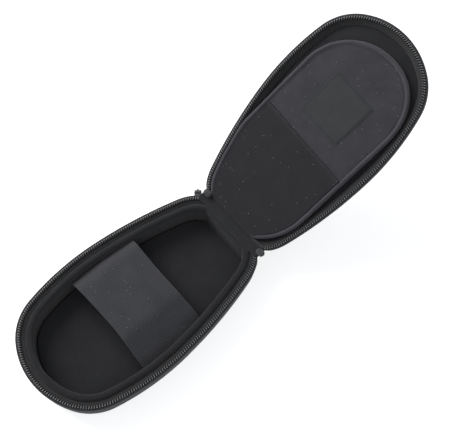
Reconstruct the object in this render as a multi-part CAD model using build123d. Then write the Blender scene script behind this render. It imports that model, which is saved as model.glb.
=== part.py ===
from build123d import *
from math import asin, cos, degrees, radians, sin, tan
import os

# A soft zip-round case, open, its lid laid back on a fabric hinge. Millimetres.
# Each half is drawn in its own half frame: the hinge axis is the Y axis, X runs to the nose,
# and Z = 0 is the plane where the two rims meet. A depth is measured down from that plane.
# An inset is measured in from the outer line of the rim, a back from the hinge axis.
# The part's origin is the middle of the base's flat underside.

# ---- overall form
CASE_LENGTH = 199.5  # hinge axis to the tip of the nose, on the outer line
NOSE_RADIUS = 0.3208 * CASE_LENGTH
NOSE_ANGLE = 32.0  # degrees that the outer line turns along its arc
SHOULDER_RADIUS = 0.2256 * CASE_LENGTH
SHOULDER_ANGLE = 45.0
FLANK_RADIUS = 1.0877 * CASE_LENGTH
FLANK_ANGLE = 17.6
WAIST_RADIUS = 1.965 * CASE_LENGTH
WAIST_ANGLE = 11.4
TAIL_ANGLE = 33.5  # its radius is what the room to the hinge axis leaves
BASE_DEPTH = 27.0
LID_DEPTH = 19.0
OPEN_ANGLE = 148.4  # between the two rims, as the lid lies back

# ---- moulded shells
SHELL_WALL = 2.5
SHELL_BACK = 1.4  # to the hinge wall's outer face
SHELL_TOP = 2.0  # depth of the shell's edge, under the zip
BASE_TAPER = 6.0  # degrees of draft
LID_TAPER = 9.0
EDGE_RADIUS = 12.0  # the round between wall and bottom
LEAST_CORNER = 2.0
FIT = 0.3  # a soft piece to its neighbour

# ---- wall pads, lips and floors
PAD_INSET = 13.0  # to the pad's inner face
PAD_BACK = 8.0
LIP_INSET = 7.6
LIP_BACK = 4.6
LIP_DEPTH = 2.6
PAD_SHOULDER_DEPTH = 5.4  # the base pad's top under the tape
BINDING_TOP = 1.0
BINDING_ROUND = 1.2
FLOOR_PAD = 3.2
FLOOR_PAD_ROUND = 1.0
LID_PAD_TOP = 6.6
LID_LEDGE_INSET = 13.5
LID_LEDGE_BACK = 9.0
LID_SHELF_INSET = 8.7  # the raised part of the lid's pad that carries the panel
LID_LINING = 0.9

# ---- zip
COIL_INSET = 1.7
COIL_WIDTH = 2.6
COIL_TOP = 0.3  # half the gap between the closed halves
COIL_HEIGHT = 1.6
COIL_PITCH = 2.0  # from tooth to tooth
COIL_SPINE = 0.9  # width of the unbroken strip that the teeth stand out from
TOOTH_SHARE = 0.6  # of the pitch, the rest is the gap
TAPE_THICKNESS = 0.7
TAPE_INSET = 2.8
TAPE_TOP = 2.0
BASE_TAPE_INNER = 7.2
BASE_TAPE_FOOT = 4.4
LID_TAPE_INNER = 8.4
LID_TAPE_FOOT = 5.6
COIL_START = 3.6  # how near to the hinge axis the coil comes
TAPE_START = 8.2
ZIP_BACK = 0.6  # where both bands are drawn to before they are trimmed

# ---- elastic strap, from the left wall over the flat top and down to the right wall
STRAP_START = 68.0
STRAP_WIDTH = 60.0
STRAP_THICKNESS = 1.4
STRAP_TOP = 0.5
STRAP_LEFT_RUN = 11.5  # from the pad's widest line to the level stretch
STRAP_LEFT_DEPTH = 7.0
STRAP_RIGHT_RUN = 29.0
STRAP_RIGHT_DEPTH = 14.0
STRAP_BEND = 3.0
STRAP_FIT = 0.2
STRAP_SPARE = 8.0  # drawn past the walls, then trimmed to them

# ---- fabric hinge
HINGE_SIDE = 4.7  # from the end of the hinge wall to the cloth's edge
HINGE_ROLL_RADIUS = 1.2
HINGE_ROLL_PAST = 1.5  # how far the roll runs past the end of the hinge wall
HINGE_STRIP = 0.8
HINGE_STRIP_GAP = 0.1
HINGE_STRIP_DROP = 14.0
HINGE_RUN = 0.3  # roll to the lid's strip and to the lining
HINGE_LINING = 0.9
HINGE_LINING_DEPTH = 0.6
KNOB_RADIUS = 2.9  # the folded zip ends, round the hinge axis
KNOB_SWELL = 3.3

# ---- slider and pull, parked on the left hinge corner of the base
SLIDER_ANGLE = 8.5  # degrees round the tail from the hinge axis
SLIDER_DROP = 0.4  # below the folded zip end
SLIDER_LENGTH = 8.4
SLIDER_WIDTH = 6.4
SLIDER_TAIL_WIDTH = 4.6
SLIDER_PLATE = 1.1
SLIDER_GAP = 1.9
SLIDER_POST = 1.8
SLIDER_FIT = 0.3
BAIL_WIDTH = 1.8
BAIL_RADIUS = 1.8
BAIL_STAND = 1.9
BAIL_BORE = 0.9
PULL_PIN = 0.7
PULL_RUN = 0.3
PULL_LENGTH = 16.5
PULL_WIDTH = 5.6
PULL_TIP_WIDTH = 4.6
PULL_THICKNESS = 1.2
PULL_HEAD = 1.1
PULL_ROUND = 1.2

# ---- lid panel, sewn in askew, with its pocket and a bare label
PANEL_SKEW = 4.4  # degrees, its hinge end to the left
PANEL_SIDE = 15.5  # from the widest line to the panel's straight sides
PANEL_INSET = 4.7  # how near to the outer line its skewed side comes
PANEL_BACK = 5.2
PANEL_CORNER = 10.0  # between its sides and its hinge end
PANEL_NOSE = 21.1
PANEL_WAIST_SHARE = 0.285  # of the panel's length, where its right side begins to draw in
PANEL_WAIST_BEND = 1.36  # radius of that arc, as a share of the panel's half width
PANEL_SEAT = 3.1  # depth of the shelf that carries it
PANEL_THICKNESS = 1.8
PANEL_BINDING = 2.8
PANEL_BINDING_HEIGHT = 2.6
PANEL_BINDING_ROUND = 0.9
PANEL_FIT = 0.1
POCKET_SHARE = 0.494  # of the panel's length, from the hinge to the mouth
POCKET_THICKNESS = 0.7
POCKET_HEM = 2.6
POCKET_HEM_THICKNESS = 0.5
LABEL_GAP = 15.4  # from the pocket's mouth
LABEL_LENGTH = 40.5
LABEL_WIDTH = 42.0
LABEL_Y = -2.5
LABEL_THICKNESS = 0.5
LABEL_ROUND = 1.0

BIG = 3 * CASE_LENGTH
DRAFT_RUN = max(BASE_DEPTH * tan(radians(BASE_TAPER)), LID_DEPTH * tan(radians(LID_TAPER)))
CORNER_RADIUS = EDGE_RADIUS + DRAFT_RUN  # tail to hinge wall, still rounder at its foot
BASE_INSIDE = BASE_DEPTH - SHELL_WALL
LID_INSIDE = LID_DEPTH - SHELL_WALL
FLOOR_TOP = BASE_INSIDE - FLOOR_PAD
PANEL_FACE = PANEL_SEAT - PANEL_THICKNESS
PANEL_END = CASE_LENGTH - PANEL_NOSE
POCKET_MOUTH = POCKET_SHARE * PANEL_END
LABEL_START = POCKET_MOUTH + LABEL_GAP
ARCS = (
    (NOSE_RADIUS, NOSE_ANGLE),
    (SHOULDER_RADIUS, SHOULDER_ANGLE),
    (FLANK_RADIUS, FLANK_ANGLE),
    (WAIST_RADIUS, WAIST_ANGLE),
)
TAIL_HEADING = 90 + sum(angle for _, angle in ARCS)
AXIS_HEADING = TAIL_HEADING + TAIL_ANGLE


# ---- shared drawing


def unit(heading):
    return Vector(cos(radians(heading)), sin(radians(heading)))


def tail_radius():
    """The arc that turns through the tail's angle just as it comes to the hinge axis."""
    room = CASE_LENGTH
    heading = 90.0
    for radius, angle in ARCS:
        room += radius * (sin(radians(heading + angle)) - sin(radians(heading)))
        heading += angle
    return room / (sin(radians(TAIL_HEADING)) - sin(radians(AXIS_HEADING)))


def side_arcs():
    """The arcs of one side of the outer line: centre, radius, first heading, angle turned."""
    start = Vector(CASE_LENGTH, 0)
    heading = 90.0
    arcs = []
    for radius, angle in (*ARCS, (TAIL_RADIUS, TAIL_ANGLE)):
        centre = start + unit(heading + 90) * radius
        arcs.append((centre, radius, heading, angle))
        heading += angle
        start = on_arc(centre, radius, heading)
    return arcs


def on_arc(centre, radius, heading):
    return centre + unit(heading - 90) * radius


def half_outline(inset, back):
    """The edges of one side from the nose to the hinge wall, their end and the tail's centre."""
    *before, (tail_centre, tail_radius_out, tail_heading, _) = side_arcs()
    edges = []
    for centre, radius, heading, angle in before:
        start = on_arc(centre, radius - inset, heading)
        edges.append(JernArc(start, unit(heading), radius - inset, angle).edge())
    tail = tail_radius_out - inset
    turned = 180 + degrees(asin((tail_centre.X - back) / tail)) - tail_heading
    start = on_arc(tail_centre, tail, tail_heading)
    arc = JernArc(start, unit(tail_heading), tail, turned)
    return [*edges, arc.edge()], arc @ 1, tail_centre


def two_sided(edges, end):
    """The face between one side's edges, their mirror image and a line across their ends."""
    mirrored = [edge.mirror(Plane.XZ) for edge in edges]
    across_ends = Line(end, Vector(end.X, -end.Y)).edge()
    return make_face(edges + mirrored + [across_ends])


def round_corners(face, back, radius):
    """The two corners of a plan at its hinge end, rounded."""
    corners = [v for v in face.vertices() if abs(v.X - back) < 0.001]
    return fillet(corners, radius)


def outline(inset, back, depth=0.0):
    """The closed plan of a half, drawn in by the inset, at a depth."""
    edges, end, _ = half_outline(inset, back)
    radius = max(CORNER_RADIUS - inset, LEAST_CORNER)
    return Pos(0, 0, -depth) * round_corners(two_sided(edges, end), back, radius)


TAIL_RADIUS = tail_radius()
WALL_END = half_outline(0, 0)[1].Y  # the outer line's half width at the hinge axis
WIDEST = outline(0, 0).bounding_box().max.Y
HINGE_HALF_WIDTH = WALL_END - HINGE_SIDE
HINGE_ROLL_END = WALL_END + HINGE_ROLL_PAST
PANEL_HALF_WIDTH = WIDEST - PANEL_SIDE
PANEL_ARCH = PANEL_END - PANEL_HALF_WIDTH
PANEL_WAIST = PANEL_WAIST_SHARE * PANEL_END
PANEL_WAIST_RADIUS = PANEL_WAIST_BEND * PANEL_HALF_WIDTH
SLIDER_AT = AXIS_HEADING - 90 - SLIDER_ANGLE


def down(face, amount, taper=0.0):
    return extrude(face, amount=amount, dir=(0, 0, -1), taper=taper)


def prism(inset, back, top, bottom):
    """A straight-walled block between two depths."""
    return down(outline(inset, back, top), bottom - top)


def dish(inset, back, top, bottom, taper, edge_radius):
    """A drafted block with a round lower edge: a moulded tray's outside or inside."""
    block = down(outline(inset, back, top), bottom - top, taper)
    return fillet(block.edges().group_by(Axis.Z)[0], edge_radius)


def slab(x_low, x_high, y_low, y_high, top, bottom):
    size = (x_high - x_low, y_high - y_low, bottom - top)
    centre = ((x_high + x_low) / 2, (y_high + y_low) / 2, -(top + bottom) / 2)
    return Pos(*centre) * Box(*size)


def past(x_low):
    """All the room beyond a distance from the hinge axis."""
    return slab(x_low, BIG, -BIG, BIG, -BIG, BIG)


def across(half_width, x_high):
    """All the room near the hinge, between two sides."""
    return slab(-BIG, x_high, -half_width, half_width, -BIG, BIG)


def round_top(part, radius):
    return fillet(part.edges().group_by(Axis.Z)[-1], radius)


# ---- pieces that both halves have


def shell(depth, taper):
    outside = dish(0, SHELL_BACK, SHELL_TOP, depth, taper, EDGE_RADIUS)
    inner_back = SHELL_BACK + SHELL_WALL
    inner_radius = EDGE_RADIUS - SHELL_WALL
    inside_depth = depth - SHELL_WALL
    return outside - dish(SHELL_WALL, inner_back, SHELL_TOP, inside_depth, taper, inner_radius)


def pad_block(top, bottom, taper):
    """The room inside a shell below a depth, less the fit."""
    start = SHELL_WALL + FIT
    shift = start + (top - SHELL_TOP) * tan(radians(taper))
    return dish(shift, SHELL_BACK + shift, top, bottom, taper, EDGE_RADIUS - start)


def tape(inner, foot):
    """The woven band that slopes in from the coil to the wall pad."""
    lower = outline(inner, ZIP_BACK, foot)
    upper = outline(TAPE_INSET, ZIP_BACK, TAPE_TOP)
    bowl = loft([lower, upper], ruled=True)
    rim = prism(TAPE_INSET, ZIP_BACK, TAPE_TOP, TAPE_TOP + TAPE_THICKNESS)
    well = prism(inner, ZIP_BACK, foot, foot + TAPE_THICKNESS)
    band = Pos(0, 0, -TAPE_THICKNESS) * bowl + rim - bowl - well
    return band & past(TAPE_START)


def coil_side():
    """The outer and inner points of one side's comb of teeth, from the nose to the hinge."""
    outer = []
    inner = []
    root = COIL_INSET + COIL_WIDTH - COIL_SPINE
    gap = (1 - TOOTH_SHARE) / 2
    for centre, radius, heading, angle in side_arcs():
        count = round(radians(angle) * (radius - COIL_INSET) / COIL_PITCH)
        for n in range(count):
            turns = [heading + angle * (n + share) / count for share in (gap, 1 - gap)]
            if on_arc(centre, radius - COIL_INSET, turns[1]).X < COIL_START:
                return outer, inner
            insets = (root, COIL_INSET), (COIL_INSET, root)
            for turn, ways in zip(turns, insets):
                outer += [on_arc(centre, radius - inset, turn) for inset in ways]
                inner.append(on_arc(centre, radius - COIL_INSET - COIL_WIDTH, turn))
    return outer, inner


def coil():
    """The zip's teeth, standing out from one spine: the count and the pitch follow the outline."""
    outer, inner = coil_side()
    side = [*outer, *reversed(inner)]
    other = [Vector(p.X, -p.Y) for p in reversed(side)]
    comb = make_face(Polyline(*side, *other, close=True))
    return down(Pos(0, 0, -COIL_TOP) * comb, COIL_HEIGHT)


def hinge_lining(reach):
    """The inside cloth from beside the hinge roll to the half's own lip or panel."""
    start = HINGE_ROLL_RADIUS + HINGE_RUN
    side = HINGE_HALF_WIDTH
    bottom = HINGE_LINING_DEPTH + HINGE_LINING
    return slab(start, reach, -side, side, HINGE_LINING_DEPTH, bottom)


def hinge_strip(taper, top):
    """The outside cloth down the hinge wall, following its draft."""
    out = HINGE_STRIP + HINGE_STRIP_GAP
    outer = down(outline(-out, SHELL_BACK - out, SHELL_TOP), HINGE_STRIP_DROP, taper)
    inner = down(
        outline(-HINGE_STRIP_GAP, SHELL_BACK - HINGE_STRIP_GAP, SHELL_TOP),
        HINGE_STRIP_DROP,
        taper,
    )
    side = HINGE_HALF_WIDTH
    strip = (outer - inner) & across(side, CORNER_RADIUS)
    link_back = SHELL_BACK - out
    link = slab(link_back, link_back + HINGE_STRIP, -side, side, top, SHELL_TOP)
    return strip + link


# ---- base


def base_shell():
    return shell(BASE_DEPTH, BASE_TAPER)


def base_pad_room():
    return pad_block(PAD_SHOULDER_DEPTH, BASE_INSIDE, BASE_TAPER)


def base_wall_pad():
    lip = prism(LIP_INSET, LIP_BACK, LIP_DEPTH, PAD_SHOULDER_DEPTH)
    return base_pad_room() + lip - prism(PAD_INSET, PAD_BACK, LIP_DEPTH, BASE_INSIDE)


def base_lip_binding():
    ring = prism(LIP_INSET, LIP_BACK, BINDING_TOP, LIP_DEPTH)
    ring -= prism(PAD_INSET, PAD_BACK, BINDING_TOP, LIP_DEPTH)
    return round_top(ring, BINDING_ROUND)


def base_floor_pad():
    room = prism(PAD_INSET + FIT, PAD_BACK + FIT, FLOOR_TOP, BASE_INSIDE)
    return round_top(base_pad_room() & room, FLOOR_PAD_ROUND)


def elastic_strap():
    wall = outline(PAD_INSET, PAD_BACK).bounding_box().max.Y
    middle = STRAP_TOP + STRAP_THICKNESS / 2
    left_top = Vector(STRAP_LEFT_RUN - wall, -middle)
    crease = Vector(wall - STRAP_RIGHT_RUN, -middle)
    left_wall = Vector(-wall, -STRAP_LEFT_DEPTH)
    right_wall = Vector(wall, -STRAP_RIGHT_DEPTH)
    left_end = left_wall + (left_wall - left_top).normalized() * STRAP_SPARE
    right_end = right_wall + (right_wall - crease).normalized() * STRAP_SPARE
    route = FilletPolyline(left_end, left_top, crease, right_end, radius=STRAP_BEND)
    section = Plane.YZ.offset(STRAP_START) * trace(route, line_width=STRAP_THICKNESS)
    band = extrude(section, amount=STRAP_WIDTH)
    return band & prism(PAD_INSET + STRAP_FIT, PAD_BACK, 0, FLOOR_TOP)


def hinge_cloth_base():
    """The base's strip with the rolled edge that the lid turns about."""
    roll = Rot(90, 0, 0) * Cylinder(HINGE_ROLL_RADIUS, 2 * HINGE_ROLL_END)
    return hinge_strip(BASE_TAPER, 0) + roll


def hinge_knob(side):
    """The folded zip end that stands out round the hinge axis."""
    start = (0, HINGE_ROLL_END)
    neck = (HINGE_ROLL_RADIUS, HINGE_ROLL_END)
    swell = (KNOB_RADIUS, HINGE_ROLL_END + KNOB_SWELL)
    crown = CenterArc((0, swell[1]), KNOB_RADIUS, 0, 90)
    outside = Polyline(start, neck, swell)
    closing = Line(crown @ 1, start)
    profile = make_face([*outside.edges(), crown.edge(), closing.edge()])
    knob = revolve(profile, Axis.Y)
    return knob if side > 0 else mirror(knob, Plane.XZ)


def slider_frame():
    """On the left hinge corner: X across the slider, Y out of the wall, Z up along it."""
    _, _, centre = half_outline(0, SHELL_BACK)
    out = unit(-SLIDER_AT)
    foot = Vector(centre.X, -centre.Y) + out * (TAIL_RADIUS + SLIDER_FIT)
    top = KNOB_RADIUS + SLIDER_DROP
    return Pos(foot.X, foot.Y, -top) * Rot(0, 0, -SLIDER_AT - 90)


def pull_axis_z():
    return -SLIDER_LENGTH / 2


def pull_axis_y():
    return 2 * SLIDER_PLATE + SLIDER_GAP + BAIL_STAND


def slider_plate():
    """The shield shape of both plates, wide at the mouth, standing along -Z."""
    wide = SLIDER_WIDTH / 2
    narrow = SLIDER_TAIL_WIDTH / 2
    shape = Polygon(
        (-wide, 0),
        (wide, 0),
        (narrow, -SLIDER_LENGTH),
        (-narrow, -SLIDER_LENGTH),
        align=None,
    )
    shape = fillet(shape.vertices(), SLIDER_PLATE)
    return extrude(Plane.XZ * shape, amount=SLIDER_PLATE, dir=(0, 1, 0))


def zip_slider():
    inner = slider_plate()
    outer = Pos(0, SLIDER_PLATE + SLIDER_GAP, 0) * slider_plate()
    post_y = SLIDER_PLATE + SLIDER_GAP / 2
    post = Box(SLIDER_POST, SLIDER_GAP, 2 * SLIDER_POST)
    post = Pos(0, post_y, -1.5 * SLIDER_POST) * post
    stand = Box(BAIL_WIDTH, BAIL_STAND, 2 * BAIL_RADIUS)
    stand = Pos(0, pull_axis_y() - BAIL_STAND / 2, pull_axis_z()) * stand
    lug = Rot(0, 90, 0) * Cylinder(BAIL_RADIUS, BAIL_WIDTH)
    bore = Rot(0, 90, 0) * Cylinder(BAIL_BORE, 2 * BAIL_WIDTH)
    pivot = Pos(0, pull_axis_y(), pull_axis_z())
    return slider_frame() * (inner + outer + post + stand + pivot * lug - pivot * bore)


def zip_pull():
    """The pull, a fork whose pin runs in the slider's bail."""
    wide = PULL_WIDTH / 2
    tip = PULL_TIP_WIDTH / 2
    shape = Polygon(
        (-wide, PULL_HEAD),
        (wide, PULL_HEAD),
        (tip, PULL_HEAD - PULL_LENGTH),
        (-tip, PULL_HEAD - PULL_LENGTH),
        align=None,
    )
    shape = fillet(shape.vertices(), PULL_ROUND / 2)
    plate = extrude(Plane.XZ * shape, amount=PULL_THICKNESS / 2, both=True)
    slot_width = BAIL_WIDTH + 2 * PULL_RUN
    slot_foot = BAIL_RADIUS + PULL_RUN + PULL_THICKNESS / 2
    slot = Box(slot_width, 2 * PULL_THICKNESS, PULL_HEAD + slot_foot)
    slot = Pos(0, 0, (PULL_HEAD - slot_foot) / 2) * slot
    pin = Rot(0, 90, 0) * Cylinder(PULL_PIN, PULL_WIDTH - PULL_ROUND)
    place = slider_frame() * Pos(0, pull_axis_y(), pull_axis_z())
    return place * (plate - slot + pin)


# ---- lid


def lid_shell():
    return shell(LID_DEPTH, LID_TAPER)


def lid_pad_room():
    return pad_block(LID_PAD_TOP, LID_INSIDE, LID_TAPER)


def lid_wall_pad():
    """The wall pad, raised to a shelf where the panel lies over it."""
    shelf = prism(LID_SHELF_INSET, PANEL_BACK, PANEL_SEAT, LID_PAD_TOP)
    shelf &= panel_block(0, PANEL_SEAT, LID_PAD_TOP)
    room = prism(LID_LEDGE_INSET, LID_LEDGE_BACK, PANEL_SEAT, LID_INSIDE)
    return lid_pad_room() + shelf - room


def lid_lining():
    """The cloth inside the dome, behind the panel."""
    inset = LID_LEDGE_INSET + FIT
    back = LID_LEDGE_BACK + FIT
    return lid_pad_room() & prism(inset, back, LID_INSIDE - LID_LINING, LID_INSIDE)


def askew(shape):
    """Turned with the panel, about the middle of its round end."""
    return Pos(PANEL_ARCH, 0, 0) * Rot(0, 0, -PANEL_SKEW) * Pos(-PANEL_ARCH, 0, 0) * shape


def panel_shape(drawn_in):
    """In its own frame: a round end, a straight left side, the right drawn in to the hinge."""
    half_width = PANEL_HALF_WIDTH - drawn_in
    radius = PANEL_WAIST_RADIUS - drawn_in
    near = PANEL_BACK / 2
    turned = degrees(asin((PANEL_WAIST - near) / radius))
    arch = CenterArc((PANEL_ARCH, 0), half_width, -90, 180)
    left = Line((PANEL_ARCH, half_width), (near, half_width))
    right = Line((PANEL_ARCH, -half_width), (PANEL_WAIST, -half_width))
    waist_centre = (PANEL_WAIST, PANEL_WAIST_RADIUS - PANEL_HALF_WIDTH)
    waist = CenterArc(waist_centre, radius, -90, -turned)
    closing = Line(waist @ 1, left @ 1)
    return make_face([curve.edge() for curve in (arch, left, right, waist, closing)])


def panel_plan(drawn_in, depth):
    """The panel's own shape set askew, kept inside the zip and cut along the hinge."""
    back = PANEL_BACK + drawn_in
    edges, end, _ = half_outline(PANEL_INSET + drawn_in, back)
    face = askew(panel_shape(drawn_in)) & two_sided(edges, end)
    return Pos(0, 0, -depth) * round_corners(face, back, PANEL_CORNER - drawn_in)


def panel_block(drawn_in, top, bottom):
    return down(panel_plan(drawn_in, top), bottom - top)


def panel_board():
    return panel_block(PANEL_BINDING + PANEL_FIT, PANEL_FACE, PANEL_SEAT)


def panel_binding():
    top = PANEL_SEAT - PANEL_BINDING_HEIGHT
    ring = panel_block(0, top, PANEL_SEAT) - panel_block(PANEL_BINDING, top, PANEL_SEAT)
    return round_top(ring, PANEL_BINDING_ROUND)


def panel_pocket():
    top = PANEL_FACE - POCKET_THICKNESS
    sheet = panel_block(PANEL_BINDING + PANEL_FIT, top, PANEL_FACE)
    return sheet & askew(slab(-BIG, POCKET_MOUTH, -BIG, BIG, 0, LID_DEPTH))


def pocket_hem():
    bottom = PANEL_FACE - POCKET_THICKNESS
    top = bottom - POCKET_HEM_THICKNESS
    sheet = panel_block(PANEL_BINDING + PANEL_FIT, top, bottom)
    hem = slab(POCKET_MOUTH - POCKET_HEM, POCKET_MOUTH, -BIG, BIG, 0, LID_DEPTH)
    return sheet & askew(hem)


def label_patch():
    patch = slab(
        LABEL_START,
        LABEL_START + LABEL_LENGTH,
        LABEL_Y - LABEL_WIDTH / 2,
        LABEL_Y + LABEL_WIDTH / 2,
        PANEL_FACE - LABEL_THICKNESS,
        PANEL_FACE,
    )
    return askew(fillet(patch.edges().filter_by(Axis.Z), LABEL_ROUND))


def hinge_cloth_lid():
    return hinge_strip(LID_TAPER, HINGE_ROLL_RADIUS + HINGE_RUN)


# ---- the two halves, placed and written


BASE_PIECES = {
    "base_shell": base_shell,
    "base_wall_pad": base_wall_pad,
    "base_lip_binding": base_lip_binding,
    "base_floor_pad": base_floor_pad,
    "base_zip_tape": lambda: tape(BASE_TAPE_INNER, BASE_TAPE_FOOT),
    "base_zip_coil": coil,
    "elastic_strap": elastic_strap,
    "hinge_cloth_base": hinge_cloth_base,
    "hinge_lining_base": lambda: hinge_lining(LIP_BACK - FIT),
    "zip_end_left": lambda: hinge_knob(-1),
    "zip_end_right": lambda: hinge_knob(1),
    "zip_slider": zip_slider,
    "zip_pull": zip_pull,
}
LID_PIECES = {
    "lid_shell": lid_shell,
    "lid_wall_pad": lid_wall_pad,
    "lid_lining": lid_lining,
    "lid_zip_tape": lambda: tape(LID_TAPE_INNER, LID_TAPE_FOOT),
    "lid_zip_coil": coil,
    "hinge_cloth_lid": hinge_cloth_lid,
    "hinge_lining_lid": lambda: hinge_lining(PANEL_BACK - FIT),
    "panel_board": panel_board,
    "panel_binding": panel_binding,
    "panel_pocket": panel_pocket,
    "pocket_hem": pocket_hem,
    "label_patch": label_patch,
}

base_place = Pos(-CASE_LENGTH / 2, 0, BASE_DEPTH)
lid_place = base_place * Rot(0, 180 - OPEN_ANGLE, 0) * Rot(0, 0, 180)

os.makedirs("parts", exist_ok=True)
for pieces, place in ((BASE_PIECES, base_place), (LID_PIECES, lid_place)):
    for name, make in pieces.items():
        export_step(place * make(), f"parts/{name}.step")

pivot = base_place * slider_frame() * Pos(0, pull_axis_y(), pull_axis_z())
turned = slider_frame().orientation.Z
print("hinge axis", -CASE_LENGTH / 2, BASE_DEPTH)
print("pull pivot", pivot.position, "turned", turned)
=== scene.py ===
from math import asin, atan2, cos, degrees, pi, radians, sin, sqrt

import bmesh
import bpy
from mathutils import Matrix, Quaternion, Vector, noise


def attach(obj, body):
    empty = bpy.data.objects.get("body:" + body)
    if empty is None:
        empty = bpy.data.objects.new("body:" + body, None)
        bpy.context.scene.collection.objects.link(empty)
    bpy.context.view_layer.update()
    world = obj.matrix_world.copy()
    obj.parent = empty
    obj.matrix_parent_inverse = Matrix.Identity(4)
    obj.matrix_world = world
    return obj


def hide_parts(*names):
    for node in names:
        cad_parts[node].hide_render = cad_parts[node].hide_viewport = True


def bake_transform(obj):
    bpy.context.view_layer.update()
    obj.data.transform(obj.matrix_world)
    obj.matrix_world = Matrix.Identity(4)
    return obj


# Dresses the open zip-round case. Sizes are in millimetres, and each half is drawn as in the
# part's source: the hinge axis is Y, X runs to the nose, and a depth is measured down from the rim.

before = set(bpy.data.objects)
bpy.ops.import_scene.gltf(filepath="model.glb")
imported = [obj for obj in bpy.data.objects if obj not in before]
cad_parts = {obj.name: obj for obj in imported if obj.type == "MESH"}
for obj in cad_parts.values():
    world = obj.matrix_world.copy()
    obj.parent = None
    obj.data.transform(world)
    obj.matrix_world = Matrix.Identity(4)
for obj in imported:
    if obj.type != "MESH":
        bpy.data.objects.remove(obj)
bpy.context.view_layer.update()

MM = 0.001

# The vector noise that rumples the cloth would otherwise take its seed from the clock.
NOISE_SEED = 1795578604
noise.seed_set(NOISE_SEED)

# ---- the outer line of a half, from the nose to the hinge
CASE_LENGTH = 199.5
ARCS = (
    (0.3208 * CASE_LENGTH, 32.0),
    (0.2256 * CASE_LENGTH, 45.0),
    (1.0877 * CASE_LENGTH, 17.6),
    (1.965 * CASE_LENGTH, 11.4),
)
TAIL_RADIUS = 39.0
CORNER_RADIUS = 15.0
LEAST_CORNER = 2.0
ARC_STEPS = (12, 16, 18, 14)
TAIL_STEPS = 12
CORNER_STEPS = 8
HINGE_STEPS = 10

# ---- sizes of the pieces. An inset is measured in from the outer line, a back from the hinge axis,
# and a depth or a top down from the rim. Where the frame and the photo differ, as in the panel, the
# hinge cloths and the left folded end of the zip, these follow the photo.
BASE_DEPTH = 27.0
OPEN_ANGLE = 148.4
SHELL_BACK = 1.4
PAD_INSET = 13.0
PAD_BACK = 8.0
LIP_INSET = 7.6
LIP_BACK = 4.6
LIP_DEPTH = 2.6
LIP_TOP = 1.0
LIP_SIDES = 14
PAD_SHOULDER_DEPTH = 5.4
FLOOR_TOP = 21.3
FLOOR_BOTTOM = 24.4
LID_PAD_TOP = 6.6
DOME_INSET = 13.8
DOME_BACK = 9.3
LEDGE_INSET = 26.0
LEDGE_BACK = 21.0
LEDGE_TOP = 3.9
LID_FLOOR = 16.4
COIL_INSET = 1.7
COIL_WIDTH = 2.6
COIL_TOP = 0.3
COIL_HEIGHT = 1.6
COIL_START = 3.6
# How far in from each loop's outer end the pale painted highlight reaches.
TOOTH_GLINT_REACH = 0.95
TAPE_INSET = 2.8
TAPE_TOP = 2.0
TAPE_START = 8.2
ZIP_BACK = 0.6
HINGE_HALF_WIDTH = 34.5
HINGE_INNER_LENGTH = 12.5
HINGE_OUTER_LENGTH = 28.5
KNOB_RADIUS = 2.9
KNOB_LENGTH = 7.6
KNOB_STEPS = 14
KNOB_SIDES = 26
LEFT_KNOB = (-2.0, 27.8, 2.4)  # its back, its start along the hinge and its height over the rim
RIGHT_KNOB = (0.0, 30.8, 0.8)
PANEL_SKEW = 4.4
PANEL_PIVOT = 134.4
PANEL_LEFT = 45.3
PANEL_RIGHT = -49.8
PANEL_INSET = 4.3
PANEL_BACK = 2.2
PANEL_END = 181.1
PANEL_APEX = -7.0
PANEL_TIP_START = 133.5
PANEL_WAIST = 44.5
PANEL_WAIST_RADIUS = 50.0
PANEL_SEAT = 3.1
PANEL_FACE = 1.3
PANEL_BINDING = 3.7
LEFT_FULLNESS = 1.0
RIGHT_FULLNESS = 0.93
TIP_STEPS = 20
WAIST_STEPS = 24
PANEL_POINTS = 240
PANEL_ROUNDINGS = 4
SINK_DEPTH = 0.7
SINK_START = 9.0
SINK_RUN = 6.0
POCKET_MOUTH = 88.1
POCKET_FACE = 0.75
LABEL_START = 103.5
LABEL_LENGTH = 40.5
LABEL_WIDTH = 42.0
LABEL_Y = -2.5
STRAP_START = 68.0
STRAP_WIDTH = 60.0
STRAP_THICKNESS = 1.2
STRAP_CORNERS = ((-46.0, 7.0), (-35.0, 1.2), (17.5, 1.2), (45.9, 13.6))
STRAP_BEND = 4.0
STRAP_PINCH = 1.3
SELVEDGE = 0.04  # a share of the strap's half width
FILL_COLUMNS = 48
MERGE_METRES = 0.00001

BASE_PLACE = Matrix.Scale(MM, 4) @ Matrix.Translation((-CASE_LENGTH / 2, 0, BASE_DEPTH))
LID_PLACE = (
    BASE_PLACE
    @ Matrix.Rotation(radians(180 - OPEN_ANGLE), 4, "Y")
    @ Matrix.Rotation(pi, 4, "Z")
)


# ---- outlines


def steps(start, end, count):
    return [start + (end - start) * n / count for n in range(count + 1)]


def arc(centre, radius, start, end, count):
    """Points of an arc, given by the headings at its ends."""
    turns = [radians(h) for h in steps(start, end, count)]
    return [centre + radius * Vector((sin(h), -cos(h))) for h in turns]


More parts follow.
